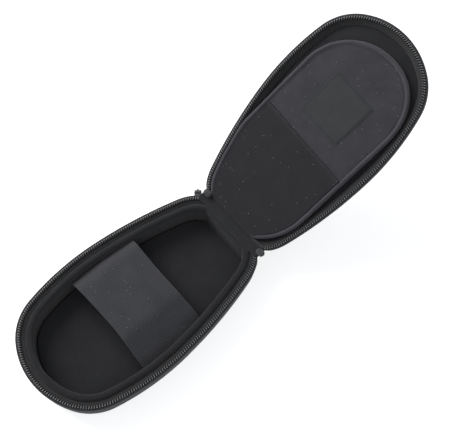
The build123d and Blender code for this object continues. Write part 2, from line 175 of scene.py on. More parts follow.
def half_ring(inset, back):
    """One side from the nose to the middle of the hinge, the same number of points at any inset."""
    radii = [radius for radius, _ in ARCS] + [TAIL_RADIUS]
    centre = Vector((CASE_LENGTH - radii[0], 0))
    heading = 90.0
    points = []
    for n, (radius, angle) in enumerate(ARCS):
        points += arc(centre, radius - inset, heading, heading + angle, ARC_STEPS[n])[:-1]
        heading += angle
        turn = radians(heading)
        centre = centre + (radius - radii[n + 1]) * Vector((sin(turn), -cos(turn)))
    tail = TAIL_RADIUS - inset
    corner = max(CORNER_RADIUS - inset, LEAST_CORNER)
    run = back + corner - centre.x
    rise = sqrt((tail - corner) ** 2 - run**2)
    join = degrees(atan2(rise, run)) + 90
    points += arc(centre, tail, heading, join, TAIL_STEPS)[:-1]
    middle = Vector((back + corner, centre.y + rise))
    points += arc(middle, corner, join, 270, CORNER_STEPS)[:-1]
    return points + [Vector((back, y)) for y in steps(middle.y, 0, HINGE_STEPS)]


def mirrored(points):
    return [Vector((p.x, -p.y)) for p in points]


def ring(half):
    """The closed line of both sides."""
    return half + mirrored(half[-2:0:-1])


def band(inset, back, start):
    """The open line from the left hinge corner round the nose to the right one."""
    reference = half_ring(COIL_INSET, ZIP_BACK)
    kept = sum(p.x > start for p in reference)
    half = half_ring(inset, back)[:kept]
    return mirrored(half[:0:-1]) + half


def resample(points, count):
    """Points evenly along a line."""
    lengths = [0.0]
    for a, b in zip(points, points[1:]):
        lengths.append(lengths[-1] + (b - a).length)
    evenly = []
    n = 0
    for want in steps(0, lengths[-1], count):
        while n < len(points) - 2 and lengths[n + 1] < want:
            n += 1
        share = (want - lengths[n]) / max(lengths[n + 1] - lengths[n], 1e-9)
        evenly.append(points[n].lerp(points[n + 1], share))
    return evenly


def length_of(line):
    return sum((b - a).length for a, b in zip(line, line[1:]))


PIVOT = Vector((PANEL_PIVOT, 0))
SKEW = Matrix.Rotation(radians(-PANEL_SKEW), 2)


def askew(x, y):
    """A point of the panel's own frame in the lid's half frame."""
    return PIVOT + SKEW @ (Vector((x, y)) - PIVOT)


def own(p):
    """A point of the lid's half frame in the panel's own frame."""
    return PIVOT + SKEW.transposed() @ (Vector((p.x, p.y)) - PIVOT)


def tip_side(side, fullness):
    """One side of the panel's round tip, from its end to the straight side."""
    points = []
    for heading in steps(0, 90, TIP_STEPS):
        turn = radians(heading)
        ahead = (PANEL_END - PANEL_TIP_START) * cos(turn) ** fullness
        aside = (side - PANEL_APEX) * sin(turn) ** fullness
        points.append(askew(PANEL_TIP_START + ahead, PANEL_APEX + aside))
    return points


def panel_line():
    """The panel's closed edge: its tip, left side, hinge end and right side."""
    left = tip_side(PANEL_LEFT, LEFT_FULLNESS)
    rim = half_ring(PANEL_INSET, PANEL_BACK)
    left += [p for p in rim if own(p).x < PANEL_TIP_START and own(p).y < PANEL_LEFT]
    waist = Vector((PANEL_WAIST, PANEL_RIGHT + PANEL_WAIST_RADIUS))
    reach = degrees(asin(PANEL_WAIST / PANEL_WAIST_RADIUS))
    right = [askew(*p) for p in arc(waist, PANEL_WAIST_RADIUS, -reach, 0, WAIST_STEPS)]
    right = [p for p in right if p.x > PANEL_BACK]
    right[0].x = PANEL_BACK
    right += tip_side(PANEL_RIGHT, RIGHT_FULLNESS)[::-1]
    line = resample(left + right, PANEL_POINTS)[:-1]
    for _ in range(PANEL_ROUNDINGS):
        line = [(line[n - 1] + line[n - len(line) + 1]) / 4 + p / 2 for n, p in enumerate(line)]
    return line


PANEL_LINE = panel_line()


def panel_edge(drawn_in, at_hinge=None):
    """The panel's closed edge, moved in, by another measure where it runs along the hinge."""
    if at_hinge is None:
        at_hinge = drawn_in
    moved = []
    for n, p in enumerate(PANEL_LINE):
        way = (PANEL_LINE[n - len(PANEL_LINE) + 1] - PANEL_LINE[n - 1]).normalized()
        share = max(0.0, -way.y) ** 4
        measure = drawn_in + share * (at_hinge - drawn_in)
        moved.append(p + measure * Vector((-way.y, way.x)))
    return moved


def panel_sides(drawn_in, at_hinge=None):
    """The left and right sides of the panel's edge, both from its tip to its hinge end."""
    edge = panel_edge(drawn_in, at_hinge)
    half = len(edge) // 2
    return edge[: half + 1], [edge[0], *edge[: half - 1 : -1]]


def side_from(side, x):
    """The part of a side that is nearer to the hinge than a line across the panel."""
    n = next(n for n, p in enumerate(side) if own(p).x < x)
    before, after = own(side[n - 1]).x, own(side[n]).x
    return [side[n - 1].lerp(side[n], (before - x) / (before - after)), *side[n:]]


def at(points, depth):
    return [Vector((p.x, p.y, -depth)) for p in points]


def rumple(rows, height, size, seed):
    """Moves points a little, so that cloth isn't ruled flat."""
    for row in rows:
        for p in row:
            p += height * noise.noise_vector(p / size + Vector((seed, 2 * seed, 0)))
    return rows


def swell(p, height, across, along, seed):
    """A slow rise and fall over a face, with waves of about these lengths."""
    return height * noise.noise(Vector((p.x / across, p.y / along, seed)))


# ---- meshes


class Skin:
    """Quads gathered in millimetres, with UVs that measure the cloth in millimetres."""

    def __init__(self):
        self.points = []
        self.faces = []
        self.uvs = []

    def grid(self, rows, ring=False, tube=False):
        """Joins rows of points. A ring closes each row, a tube joins the last row to the first."""
        start = len(self.points)
        count = len(rows[0])
        for row in rows:
            self.points.extend(row)
        middle = count // 2
        along = [0.0]
        central = rows[len(rows) // 2]
        for a, b in zip(central, central[1:] + central[:1]):
            along.append(along[-1] + (b - a).length)
        across = [0.0]
        for a, b in zip(rows, rows[1:] + rows[:1]):
            across.append(across[-1] + (b[middle] - a[middle]).length)
        for r in range(len(rows) if tube else len(rows) - 1):
            for c in range(count if ring else count - 1):
                corners = ((r, c), (r, c + 1), (r + 1, c + 1), (r + 1, c))
                self.faces.append(
                    [start + (i % len(rows)) * count + j % count for i, j in corners]
                )
                self.uvs.extend((along[j], across[i]) for i, j in corners)
        return self

    def fill(self, left, right, depth):
        """A sheet between two side lines, at a depth that may vary over it."""
        hinge_x = left[-1].x + 0.01
        rows = []
        for p, q in zip(left, right):
            points = [p.lerp(q, t) for t in steps(0, 1, FILL_COLUMNS)]
            rows.append([Vector((r.x, r.y, -depth(r))) for r in points])
            if max(p.x, q.x) < hinge_x:
                break
        first = len(self.uvs)
        self.grid(rows)
        added = self.faces[-(len(rows) - 1) * FILL_COLUMNS :]
        flat = [self.points[n] for face in added for n in face]
        self.uvs[first:] = [(p.x, p.y) for p in flat]
        return self

    def make(self, name, place, finish, stands_for=()):
        mesh = bpy.data.meshes.new(name)
        mesh.from_pydata([place @ p for p in self.points], [], self.faces)
        layer = mesh.uv_layers.new(name="cloth")
        layer.data.foreach_set("uv", [value for uv in self.uvs for value in uv])
        mesh.polygons.foreach_set("use_smooth", [True] * len(self.faces))
        joined = bmesh.new()
        joined.from_mesh(mesh)
        bmesh.ops.remove_doubles(joined, verts=joined.verts, dist=MERGE_METRES)
        bmesh.ops.recalc_face_normals(joined, faces=joined.faces)
        joined.to_mesh(mesh)
        joined.free()
        mesh.materials.append(finish)
        obj = bpy.data.objects.new(name, mesh)
        bpy.context.collection.objects.link(obj)
        if stands_for:
            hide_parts(*stands_for)
        return obj


def loft(profile):
    """Rows round a half for a profile of (inset, back, depth)."""
    return [at(ring(half_ring(inset, back)), depth) for inset, back, depth in profile]


# ---- materials


def add(tree, kind, inputs=None, **settings):
    """A shader node with its settings, and inputs that are values or other nodes' sockets."""
    node = tree.nodes.new("ShaderNode" + kind)
    for key, value in settings.items():
        setattr(node, key, value)
    for key, value in (inputs or {}).items():
        if isinstance(value, bpy.types.NodeSocket):
            tree.links.new(value, node.inputs[key])
        else:
            node.inputs[key].default_value = value
    return node


def calc(tree, operation, a, b=0.0):
    return add(tree, "Math", {0: a, 1: b}, operation=operation).outputs[0]


def stripes(tree, place, pitch, direction, wobble=0.0):
    """Ribs of a pitch, high in the middle of each."""
    inputs = {"Vector": place, "Scale": pi / 10 / pitch, "Distortion": wobble, "Detail": 1.0}
    node = add(tree, "TexWave", inputs, wave_type="BANDS", bands_direction=direction)
    return node.outputs["Fac"]


def weave(tree, place, pitch):
    """Over-and-under threads, each way in turn."""
    turn = add(tree, "TexChecker", {"Vector": place, "Scale": 1 / pitch}).outputs["Fac"]
    warp = stripes(tree, place, pitch, "X", 0.4)
    weft = stripes(tree, place, pitch, "Y", 0.4)
    mixed = add(tree, "Mix", {"Factor": turn, "A": warp, "B": weft}, data_type="FLOAT")
    return mixed.outputs[0]


def ribs(tree, place, pitch):
    """Cords that lie side by side, each with finer threads across it."""
    fine = calc(tree, "MULTIPLY", stripes(tree, place, pitch / 3, "Y", 0.5), 0.35)
    return calc(tree, "ADD", stripes(tree, place, pitch, "X", 0.6), fine)


def felt(tree, place, pitch):
    """Short fibres that lie every way."""
    inputs = {"Vector": place, "Scale": 1 / pitch, "Detail": 3.0}
    return add(tree, "TexNoise", inputs).outputs["Fac"]


def webbing(tree, place, pitch):
    """Cords crossed by picks of about the same width."""
    picks = calc(tree, "MULTIPLY", stripes(tree, place, pitch, "Y", 0.8), 0.6)
    picks = calc(tree, "ADD", picks, 0.4)
    cords = stripes(tree, place, 0.85 * pitch, "X", 0.8)
    return calc(tree, "MULTIPLY", cords, picks)


SPECK = (0.24, 0.24, 0.26, 1)
SPECK_SPACING = 1.7
SPECK_RADIUS = 0.17


def lint(tree, place, share):
    """Bright specks, in a share of the cells of a random net."""
    net = {"Vector": place, "Scale": 1 / SPECK_SPACING, "Randomness": 1.0}
    cells = add(tree, "TexVoronoi", net)
    chosen = add(tree, "SeparateColor", {"Color": cells.outputs["Color"]}).outputs[0]
    near = calc(tree, "LESS_THAN", cells.outputs["Distance"], SPECK_RADIUS)
    return calc(tree, "MULTIPLY", near, calc(tree, "LESS_THAN", chosen, share))


def new_finish(name):
    """A material that knows its slot, with its node tree and its shader."""
    finish = bpy.data.materials.new(name + "_look")
    finish["slot"] = name
    finish.use_nodes = True
    return finish, finish.node_tree, finish.node_tree.nodes["Principled BSDF"]


def two_tone(tree, value, dark_at, dark, light_at, light):
    """A colour that runs from a dark one to a light one as a value rises."""
    ramp = add(tree, "ValToRGB", {"Fac": value})
    first, last = ramp.color_ramp.elements
    first.position = dark_at
    last.position = light_at
    first.color = [*dark, 1]
    last.color = [*light, 1]
    return ramp.outputs["Color"]


def set_roughness(tree, shader, value, least, most):
    spread = add(tree, "MapRange", {"Value": value, "To Min": least, "To Max": most})
    tree.links.new(spread.outputs[0], shader.inputs["Roughness"])


def set_bump(tree, shader, height, strength, distance):
    """Relief, with its distance in millimetres."""
    inputs = {"Height": height, "Strength": strength, "Distance": distance * MM}
    bump = add(tree, "Bump", inputs)
    tree.links.new(bump.outputs["Normal"], shader.inputs["Normal"])


def pattern_place(tree, solid):
    """Where a pattern is measured, in millimetres: through the solid, or along the cloth."""
    coords = add(tree, "TexCoord")
    if not solid:
        return coords.outputs["UV"]
    factors = {0: coords.outputs["Object"], 1: (1000,) * 3}
    return add(tree, "VectorMath", factors, operation="MULTIPLY").outputs[0]


def cloth(
    name,
    colour,
    pattern,
    pitch,
    relief,
    rough=0.9,
    sheen=0.15,
    speck_share=0.0,
    solid=False,
    contrast=0.3,
):
    """A woven or brushed cloth: colour that varies, threads, fuzz and, where it has any, lint."""
    finish, tree, shader = new_finish(name)
    place = pattern_place(tree, solid)
    threads = pattern(tree, place, pitch)
    patches = add(tree, "TexNoise", {"Vector": place, "Scale": 0.06, "Detail": 4.0}).outputs["Fac"]
    fuzz = add(tree, "TexNoise", {"Vector": place, "Scale": 1.6, "Detail": 3.0}).outputs["Fac"]
    tone = calc(tree, "MULTIPLY", patches, 0.5)
    tone = calc(tree, "ADD", tone, calc(tree, "MULTIPLY", threads, contrast))
    tone = calc(tree, "ADD", tone, calc(tree, "MULTIPLY", fuzz, 0.2))
    dark = [0.62 * c for c in colour]
    light = [1.45 * c for c in colour]
    shown = two_tone(tree, tone, 0.25, dark, 0.8, light)
    if speck_share:
        specks = lint(tree, place, speck_share)
        mixed = add(tree, "MixRGB", {"Fac": specks, "Color1": shown, "Color2": SPECK})
        shown = mixed.outputs["Color"]
    tree.links.new(shown, shader.inputs["Base Color"])
    height = calc(tree, "ADD", threads, calc(tree, "MULTIPLY", fuzz, 0.7))
    set_bump(tree, shader, height, 0.7, relief)
    set_roughness(tree, shader, tone, rough - 0.1, min(1.0, rough + 0.08))
    shader.inputs["Sheen Weight"].default_value = sheen
    shader.inputs["Specular IOR Level"].default_value = 0.25
    return finish


def hard(name, colour, rough, metallic, shine=0.5):
    """Moulded plastic or painted metal, a little worn and uneven."""
    finish, tree, shader = new_finish(name)
    place = add(tree, "TexCoord").outputs["Object"]
    wear = add(tree, "TexNoise", {"Vector": place, "Scale": 420.0, "Detail": 5.0}).outputs["Fac"]
    shown = two_tone(tree, wear, 0.35, colour, 0.75, [1.8 * c for c in colour])
    tree.links.new(shown, shader.inputs["Base Color"])
    set_roughness(tree, shader, wear, rough - 0.08, rough + 0.12)
    set_bump(tree, shader, wear, 0.3, 0.05)
    shader.inputs["Metallic"].default_value = metallic
    shader.inputs["Specular IOR Level"].default_value = shine
    return finish


def nylon(name, colour, glint_colour):
    """Glossy loops of dark nylon, with a painted highlight: their heads, which face the other half,
    are coloured pale.
    """
    finish = hard(name, colour, 0.28, 0.0, shine=1.0)
    tree = finish.node_tree
    shader = tree.nodes["Principled BSDF"]
    plain = shader.inputs["Base Color"].links[0].from_socket
    across = add(tree, "SeparateXYZ", {"Vector": add(tree, "TexCoord").outputs["UV"]}).outputs["Y"]
    # Painted highlight: the loops are coloured pale near their outer ends.
    is_painted_glint = calc(tree, "LESS_THAN", across, TOOTH_GLINT_REACH)
    mixed = add(tree, "MixRGB", {"Fac": is_painted_glint, "Color1": plain, "Color2": (*glint_colour, 1)})
    tree.links.new(mixed.outputs["Color"], shader.inputs["Base Color"])
    return finish


SHELL_CLOTH = cloth("shell_cloth", (0.036, 0.036, 0.038), felt, 1.1, 0.25, solid=True)
LINING_CLOTH = cloth("lining_cloth", (0.021, 0.021, 0.0235), weave, 0.5, 0.15, sheen=0.1)
# A darker copy of the lining cloth for the lid: painted shade of the lid's hollow around and under
# the panel.
SHADED_LID_LINING_CLOTH = cloth("lining_cloth", (0.0165, 0.0165, 0.019), weave, 0.5, 0.15, sheen=0.1)
BINDING_CLOTH = cloth("binding_cloth", (0.054, 0.053, 0.062), ribs, 0.9, 0.2, sheen=0.25)
TAPE_CLOTH = cloth("tape_cloth", (0.030, 0.030, 0.031), weave, 0.9, 0.35)
# A lighter copy of the tape cloth for the zip's folded ends: painted highlight on the folds.
FOLD_PAINTED_HIGHLIGHT_CLOTH = cloth("tape_cloth", (0.070, 0.070, 0.074), ribs, 0.9, 0.3)
# A darker copy of the tape cloth for the zip's cord: painted shade in the gaps between the coil's
# loops.
SHADED_CORD_CLOTH = cloth("tape_cloth", (0.010, 0.010, 0.011), weave, 0.9, 0.2, sheen=0.05)
# A lighter copy of the lining cloth for the base's walls: painted light against the shade they
# stand in.
WALL_PAINTED_LIGHTER_CLOTH = cloth("lining_cloth", (0.031, 0.031, 0.034), weave, 0.5, 0.15, sheen=0.1)
LIP_CLOTH = cloth("lip_cloth", (0.0145, 0.0145, 0.0165), weave, 0.6, 0.3, sheen=0.15)
STRAP_ELASTIC = cloth(
    "strap_elastic", (0.045, 0.045, 0.050), webbing, 1.9, 0.4, speck_share=0.04, contrast=0.55
)
PANEL_CLOTH = cloth("panel_cloth", (0.044, 0.043, 0.051), weave, 0.9, 0.2, speck_share=0.07)
POCKET_CLOTH = cloth("pocket_cloth", (0.019, 0.0185, 0.022), weave, 0.9, 0.15, speck_share=0.06)
LABEL_CLOTH = cloth("label_cloth", (0.022, 0.0235, 0.026), ribs, 0.4, 0.08, rough=0.6, sheen=0.05)
# The coil's dark nylon, with a painted highlight on the head of every loop.
COIL_NYLON_AND_GLINT = nylon("coil_nylon", (0.020, 0.020, 0.022), (0.28, 0.28, 0.29))
SLIDER_METAL = hard("slider_metal", (0.05, 0.05, 0.055), 0.35, 0.8)


# ---- base


def base_pad():
    """The lined foam wall of the base, from its lip down to the floor and up behind."""
    out = SHELL_BACK
    rows = loft(
        (
            (LIP_INSET + 0.3, LIP_BACK + 0.3, LIP_DEPTH + 0.3),
            (PAD_INSET - 0.8, PAD_BACK - 0.8, LIP_DEPTH + 0.2),
            (PAD_INSET - 0.1, PAD_BACK - 0.1, LIP_DEPTH + 1.2),
            (PAD_INSET, PAD_BACK, 8.0),
            (PAD_INSET, PAD_BACK, 14.0),
            (PAD_INSET, PAD_BACK, FLOOR_BOTTOM),
            (11.0, out + 10.0, 24.1),
            (8.0, out + 8.0, 22.4),
            (5.7, out + 5.7, 18.6),
            (4.4, out + 4.4, 14.0),
            (3.5, out + 3.5, PAD_SHOULDER_DEPTH + 0.3),
            (LIP_INSET + 0.2, LIP_BACK + 0.2, PAD_SHOULDER_DEPTH + 0.2),
        )
    )
    rumple(rows, 0.25, 9.0, 3)
    skin = Skin().grid(rows, ring=True, tube=True)
    # The walls take the lighter copy of the lining, painted light against their shade.
    pad = skin.make("wall_pad", BASE_PLACE, WALL_PAINTED_LIGHTER_CLOTH, ["base_wall_pad"])
    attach(pad, "base")


def base_lip():
    """The brushed binding rolled over the pad's edge."""
    middle = (LIP_INSET + PAD_INSET) / 2
    back = (LIP_BACK + PAD_BACK) / 2
    half = (PAD_INSET - LIP_INSET) / 2
    half_back = (PAD_BACK - LIP_BACK) / 2
    profile = []
    for n in range(LIP_SIDES):
        turn = 2 * pi * n / LIP_SIDES
        side = cos(turn)
        lift = sin(turn)
        depth = LIP_DEPTH - 0.1 - (LIP_DEPTH - LIP_TOP) * max(lift, -0.1)
        profile.append((middle + half * side, back + half_back * side, depth))
    rows = rumple(loft(profile), 0.22, 3.5, 7)
    skin = Skin().grid(rows, ring=True, tube=True)
    lip = skin.make("lip_binding", BASE_PLACE, LIP_CLOTH, ["base_lip_binding"])
    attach(lip, "base")


def base_floor():
    """The padded floor, a little uneven."""
    edge = half_ring(PAD_INSET + 0.3, PAD_BACK + 0.3)
    rounded = half_ring(PAD_INSET + 1.2, PAD_BACK + 1.2)
    rows = [
        at(ring(edge), FLOOR_BOTTOM),
        at(ring(edge), FLOOR_TOP + 0.8),
        at(ring(rounded), FLOOR_TOP),
    ]
    skin = Skin().grid(rows, ring=True)

    def depth(p):
        return FLOOR_TOP + swell(p, 0.35, 22, 22, 5)

    skin.fill(rounded, mirrored(rounded), depth)
    pad = skin.make("floor_pad", BASE_PLACE, LINING_CLOTH, ["base_floor_pad"])
    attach(pad, "base")


def strap_route():
    """The strap's middle as (y, depth): up from the left wall, level, then down to the right."""
    corners = [Vector(corner) for corner in STRAP_CORNERS]
    route = [corners[0]]
    for before, here, after in zip(corners, corners[1:], corners[2:]):
        enter = here + (before - here).normalized() * STRAP_BEND
        leave = here + (after - here).normalized() * STRAP_BEND
        route += [enter.lerp(here, t).lerp(here.lerp(leave, t), t) for t in steps(0, 1, 8)]
    return resample(route + [corners[-1]], 90)


def strap():
    """Elastic webbing: its long edges are thinner, and bow in where it is stretched."""
    rows = []
    route = strap_route()
    for n, p in enumerate(route):
        share = n / (len(route) - 1)
        half = STRAP_THICKNESS / 2 if 0 < share < 1 else 0.0
        pinch = STRAP_PINCH * sin(pi * share) ** 2
        row = []
        for side in (-1, 1):
            for t in steps(-side, side, 30):
                x = STRAP_START + STRAP_WIDTH / 2 + t * (STRAP_WIDTH / 2 - 0.5 - pinch)
                edge = 1 - 0.6 * max(0, abs(t) - (1 - SELVEDGE)) / SELVEDGE
                row.append(Vector((x, p.x, -p.y - side * half * edge)))
        rows.append(row)
    rumple(rows, 0.3, 14.0, 11)
    skin = Skin().grid(rows, ring=True)
    band_piece = skin.make("strap", BASE_PLACE, STRAP_ELASTIC, ["elastic_strap"])
    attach(band_piece, "base")


# ---- zip


def tape(name, place, body, inner, foot, stands_for):
    """The woven band from the coil down to the pad, folded back under itself where it is sewn."""
    profile = (
        (TAPE_INSET, TAPE_TOP + 0.1),
        (TAPE_INSET + 1.2, TAPE_TOP + 0.5),
        ((TAPE_INSET + inner) / 2, (TAPE_TOP + foot) / 2 - 0.1),
        (inner - 0.8, foot - 0.35),
        (inner - 0.1, foot + 0.1),
        (inner - 0.2, foot + 0.6),
        (inner - 3.8, foot + 0.75),
    )
    rows = [at(band(inset, ZIP_BACK, TAPE_START), depth) for inset, depth in profile]
    rumple(rows, 0.15, 6.0, 19)
    obj = Skin().grid(rows).make(name, place, TAPE_CLOTH, [stands_for])
    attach(obj, body)


TOOTH_PITCH = 2.0
TOOTH_HALF = 0.5
TOOTH_SKEW = 0.35
TOOTH_DROP = 0.35
TOOTH_SIDES = 8
CORD_HALF = 1.1
CORD_TOP_HALF = 0.9
CORD_HEIGHT = 0.4


def tooth(skin, middle, ahead, inward):
    """One loop of the coil, lying across the tape with both ends turned down."""
    rows = []
    for t in (-1.0, -0.85, -0.45, 0.0, 0.45, 0.85, 1.0):
        full = sqrt(max(1 - t**4, 0.0)) * 0.9 + 0.1
        centre = middle + inward * (t * COIL_WIDTH / 2) + ahead * (t * TOOTH_SKEW)
        depth = COIL_TOP + COIL_HEIGHT / 2 + TOOTH_DROP * t**4
        row = []
        for n in range(TOOTH_SIDES):
            turn = 2 * pi * n / TOOTH_SIDES
            p = centre + ahead * (cos(turn) * TOOTH_HALF * full)
            row.append(Vector((p.x, p.y, -depth + sin(turn) * 0.45 * COIL_HEIGHT * full)))
        rows.append(row)
    skin.grid(rows, ring=True)


def coil(name, place, body, stands_for):
    """Every loop of the nylon coil, over the cord that it is sewn round."""
    inset = COIL_INSET + COIL_WIDTH / 2
    line = band(inset, ZIP_BACK + COIL_WIDTH / 2, COIL_START)
    stations = resample(line, round(length_of(line) / TOOTH_PITCH))
    skin = Skin()
    for before, after in zip(stations, stations[1:]):
        ahead = (after - before).normalized()
        tooth(skin, (before + after) / 2, ahead, Vector((-ahead.y, ahead.x)))
    obj = skin.make(name, place, COIL_NYLON_AND_GLINT, [stands_for])
    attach(obj, body)
    low = COIL_TOP + COIL_HEIGHT
    cord = (
        (inset - CORD_HALF, low),
        (inset - CORD_TOP_HALF, low - CORD_HEIGHT),
        (inset + CORD_TOP_HALF, low - CORD_HEIGHT),
        (inset + CORD_HALF, low),
    )
    rows = [at(band(i, ZIP_BACK + i - COIL_INSET, COIL_START), d) for i, d in cord]
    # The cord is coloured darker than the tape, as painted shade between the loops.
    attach(Skin().grid(rows).make(name + "_cord", place, SHADED_CORD_CLOTH), body)


# ---- lid


def lid_pad():
    """The lined foam wall of the lid, whose face slopes up under the panel."""
    out = SHELL_BACK
    rows = loft(
        (
            (8.0, 3.5, LID_PAD_TOP - 0.2),
            (11.0, 6.5, LID_PAD_TOP - 0.8),
            (15.0, 10.0, LID_PAD_TOP - 1.7),
            (19.0, 14.0, LEDGE_TOP + 0.3),
            (LEDGE_INSET - 0.8, LEDGE_BACK - 0.8, LEDGE_TOP),
            (LEDGE_INSET, LEDGE_BACK, LEDGE_TOP + 1.0),
            (LEDGE_INSET, LEDGE_BACK, 11.0),
            (LEDGE_INSET, LEDGE_BACK, LID_FLOOR),
            (11.0, out + 9.0, LID_FLOOR - 0.6),
            (7.5, out + 6.5, LID_FLOOR - 2.6),
            (4.6, out + 4.6, LID_PAD_TOP + 3.2),
            (3.8, out + 3.8, LID_PAD_TOP + 0.5),
        )
    )
    rumple(rows, 0.2, 9.0, 23)
    skin = Skin().grid(rows, ring=True, tube=True)
    # The lid's wall takes the darker copy of the lining, as painted shade.
    pad = skin.make("lid_pad", LID_PLACE, SHADED_LID_LINING_CLOTH, ["lid_wall_pad"])
    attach(pad, "lid")


def lid_dome():
    """The cloth inside the lid, behind the panel."""
    half = half_ring(DOME_INSET, DOME_BACK)

    def depth(p):
        return LID_FLOOR - 0.5 + swell(p, 0.2, 18, 18, 9)

    skin = Skin().fill(half, mirrored(half), depth)
    # The cloth behind the panel takes the darker copy of the lining, as painted shade.
    obj = skin.make("lid_dome_cloth", LID_PLACE, SHADED_LID_LINING_CLOTH, ["lid_lining"])
    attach(obj, "lid")


def padding(p, height):
    """How far the padded panel's face stands up, from nothing at its sewn edge."""
    place = own(p)
    middle = (PANEL_LEFT + PANEL_RIGHT) / 2
    half = (PANEL_LEFT - PANEL_RIGHT) / 2
    edge = max(0.0, 1 - ((place.y - middle) / half) ** 2)
    ends = max(0.0, 1 - (2 * place.x / PANEL_END - 1) ** 2)
    return height * sqrt(edge * ends)


def panel():
    """The padded panel: its full face, and its flat underside."""
    sides = panel_sides(PANEL_BINDING - 0.3)

    def depth(p):
        return PANEL_FACE + 0.4 - padding(p, 0.7) - swell(p, 0.12, 12, 12, 1)

    skin = Skin().fill(*sides, depth)
    skin.fill(*sides, lambda p: PANEL_SEAT - 0.1)
    board = skin.make("panel_pad", LID_PLACE, PANEL_CLOTH, ["panel_board"])
    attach(board, "lid")


def hinge_sink(p):
    """How much lower the panel's rolled edge is beside the hinge, where the pocket covers it."""
    return SINK_DEPTH * min(max((SINK_START - p.x) / SINK_RUN, 0.0), 1.0)


def panel_binding():
    """The rolled cloth edge, with a sewn groove along its inner side."""
    profile = (
        (0.1, PANEL_SEAT - 0.1),
        (0.0, PANEL_SEAT - 1.2),
        (0.25, PANEL_SEAT - 1.9),
        (0.9, PANEL_SEAT - 2.5),
        (1.8, PANEL_SEAT - 2.65),
        (2.7, PANEL_SEAT - 2.45),
        (3.3, PANEL_SEAT - 1.9),
        (PANEL_BINDING, PANEL_SEAT - 1.2),
        (PANEL_BINDING, PANEL_SEAT - 0.1),
    )
    lowest = PANEL_SEAT - 0.1
    rows = []
    for drawn_in, depth in profile:
        edge = panel_edge(drawn_in, min(drawn_in, 1.5))
        rows.append([Vector((p.x, p.y, -min(depth + hinge_sink(p), lowest))) for p in edge])
    rumple(rows, 0.18, 4.0, 29)
    skin = Skin().grid(rows, ring=True, tube=True)
    obj = skin.make("panel_edge", LID_PLACE, BINDING_CLOTH, ["panel_binding"])
    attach(obj, "lid")


HEM = 2.6
POCKET_LIFT = 0.3


def pocket_depth(p):
    """The pocket's face: a little full, higher along its hem, down at the sewn sides."""
    fold = 0.45 if POCKET_MOUTH - HEM < own(p).x else 0.0
    wave = swell(p, 0.15, 16, 20, 4)
    return POCKET_FACE - fold - padding(p, POCKET_LIFT) - wave


def pocket():
    """The flat pocket and its hem, one cloth that turns under at the mouth."""
    lines = []
    for side in panel_sides(PANEL_BINDING + 0.1, 0.3):
        hem = [side_from(side, POCKET_MOUTH - x)[0] for x in (0, 0.2, HEM - 0.2)]
        lines.append(hem + resample(side_from(side, POCKET_MOUTH - HEM), 60))
    skin = Skin().fill(*lines, pocket_depth)
    mouth = [lines[0][0].lerp(lines[1][0], t) for t in steps(0, 1, FILL_COLUMNS)]
    top = [Vector((p.x, p.y, -pocket_depth(p))) for p in mouth]
    under = [p + Vector((0.15, 0, -0.55)) for p in top]
    tucked = [p + Vector((-1.5, 0, -0.2)) for p in under]
    skin.grid([top, under, tucked])
    obj = skin.make("pocket_cloth", LID_PLACE, POCKET_CLOTH, ["panel_pocket", "pocket_hem"])
    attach(obj, "lid")


def label():
    """A bare woven patch, sewn down all round."""
    rows = []
    for x in steps(0, LABEL_LENGTH, 24):
        row = []
        for y in steps(-LABEL_WIDTH / 2, LABEL_WIDTH / 2, 24):
            edge = min(x, LABEL_LENGTH - x, LABEL_WIDTH / 2 - abs(y))
            lift = 0.25 * min(edge / 1.2, 1.0)
            p = askew(LABEL_START + x, LABEL_Y + y)
            wave = swell(p, 0.12, 7, 7, 2)
            row.append(Vector((p.x, p.y, -(PANEL_FACE - 0.45) + lift + wave)))
        rows.append(row)
    obj = Skin().grid(rows).make("label_patch_cloth", LID_PLACE, LABEL_CLOTH, ["label_patch"])
    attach(obj, "lid")


# ---- hinge


def corner_bend(y):
    """How far a half's hinge side curves away from the hinge near its corners."""
    over = max(abs(y) - half_ring(0, 0)[-HINGE_STEPS - 1].y, 0.0)
    return CORNER_RADIUS - sqrt(CORNER_RADIUS**2 - over**2)


def across_hinge(lines):
    """Rows along the hinge for points of (back, depth) in the base, then in the lid."""
    to_lid = BASE_PLACE.inverted() @ LID_PLACE
    rows = []
    for half, back, depth in lines:
        side = HINGE_HALF_WIDTH + (0.0 if back > 1 else 1.0)
        row = [Vector((back + corner_bend(y), y, -depth)) for y in steps(-side, side, 56)]
        rows.append(row if half == "base" else [to_lid @ Vector((p.x, -p.y, p.z)) for p in row])
    return rows


def hinge_cloth():
    """The lining over the hinge and the strip outside it, two cloths drawn bent from the base over
    to the lid.
    """
    inside = across_hinge(
        (
            ("base", 5.4, 1.3),
            ("base", 4.2, 0.75),
            ("base", 2.8, 0.6),
            ("base", 1.5, 0.75),
            ("base", 0.4, 1.1),
            ("lid", 0.4, 1.1),
            ("lid", 1.3, 0.9),
            ("lid", 2.1, 1.3),
            ("lid", 2.6, 2.4),
            ("lid", 3.0, 3.6),
        )
    )
    rumple(inside, 0.3, 5.0, 31)
    outside = across_hinge(
        (
            ("base", 1.9, 14.0),
            ("base", 1.2, 8.0),
            ("base", 0.7, 3.0),
            ("base", 0.3, 1.6),
            ("lid", 0.3, 1.6),
            ("lid", 0.8, 3.0),
            ("lid", 1.6, 8.0),
            ("lid", 2.5, 14.0),
        )
    )
    rumple(outside, 0.15, 5.0, 37)
    inner_nodes = ["hinge_lining_base", "hinge_lining_lid"]
    outer_nodes = ["hinge_cloth_base", "hinge_cloth_lid"]
    for name, rows, finish, cad, length in (
        ("hinge_inner_cloth", inside, LINING_CLOTH, inner_nodes, HINGE_INNER_LENGTH),
        ("hinge_outer_cloth", outside, SHELL_CLOTH, outer_nodes, HINGE_OUTER_LENGTH),
    ):
        obj = Skin().grid(rows).make(name, BASE_PLACE, finish, cad)
        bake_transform(obj)


